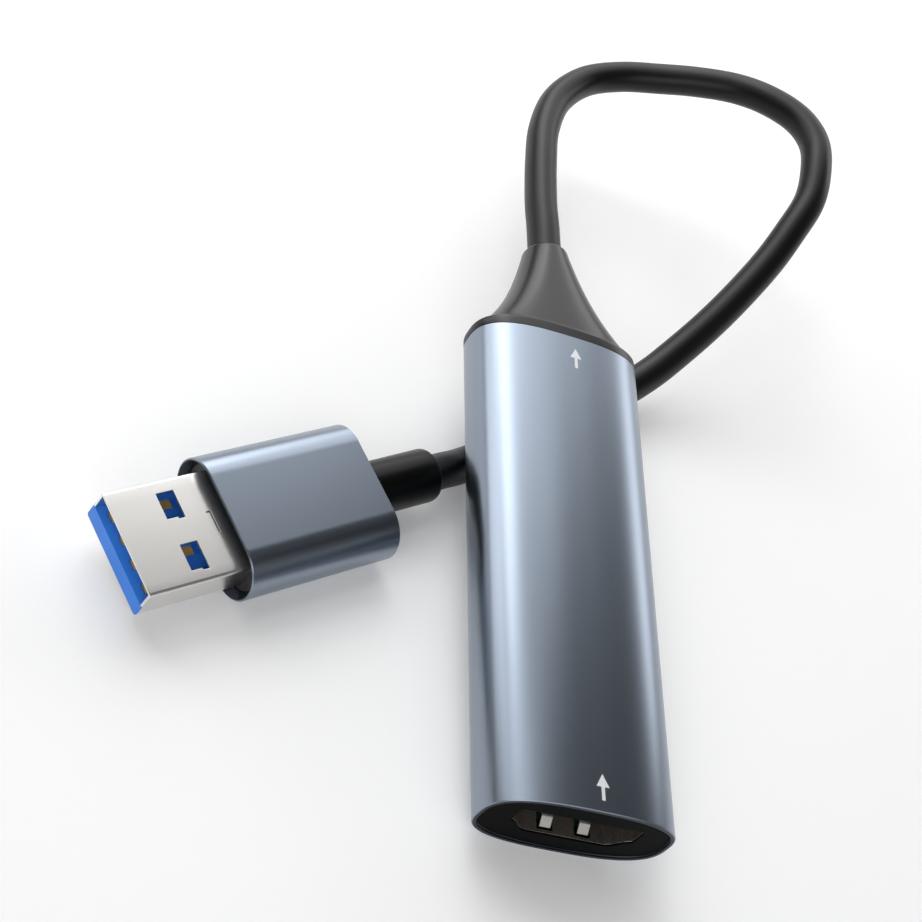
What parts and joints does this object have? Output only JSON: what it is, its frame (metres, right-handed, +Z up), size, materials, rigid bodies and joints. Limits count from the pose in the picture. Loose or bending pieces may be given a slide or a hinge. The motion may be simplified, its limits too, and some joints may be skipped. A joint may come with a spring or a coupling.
{
  "type": "video capture box",
  "caption": "Slim aluminium video capture box with a video input socket at one end and a short captive cord with a flat data plug at the other.",
  "frame": {"origin": "centre of the box's lowest face in plan, on the table, with the cord and plug left out", "axes": "+Y along the box from the input socket to the cord boot, +Z up from the table, +X across the box to the right"},
  "size_m": [0.0936, 0.1218, 0.0264],
  "materials": {
    "anodised": "satin anodised, blue-grey",
    "black_plastic": "fine matte",
    "sheet_metal": "plain bright sheet",
    "dark_insulator": "moulded",
    "gold": "gold plated",
    "carrier_plastic": "moulded",
    "board": "solder mask",
    "chip_black": "moulded",
    "can_metal": "plain",
    "ferrite": "sintered",
    "ceramic": "fired",
    "wire_red": "insulation",
    "wire_green": "insulation",
    "cord_jacket": "smooth, soft sheen",
    "boot_rubber": "fine satin",
    "plug_metal": "plain bright sheet",
    "blue_plastic": "moulded"
  },
  "bodies": {
    "root": {"body_sleeve": "anodised", "input_bezel": "black_plastic", "socket_shell": "sheet_metal", "socket_tongue": "dark_insulator", "socket_contacts": "gold", "carrier_lower": "carrier_plastic", "carrier_upper": "carrier_plastic", "main_board": "board", "capture_chip": "chip_black", "memory_chip": "chip_black", "crystal": "can_metal", "power_coil": "ferrite", "regulator": "chip_black", "chip_capacitors": "ceramic", "lead_wires": "wire_red", "crimp_ring": "can_metal", "cord_tail": "cord_jacket", "cord_boot": "boot_rubber", "cord": "cord_jacket", "plug_boot": "boot_rubber", "plug_tail": "cord_jacket", "plug_sleeve": "anodised", "plug_core": "black_plastic", "plug_shell": "plug_metal", "plug_tongue": "blue_plastic", "plug_front_contacts": "gold", "plug_rear_contacts": "gold", "plug_wires": "wire_green"}
  },
  "joints": []
}
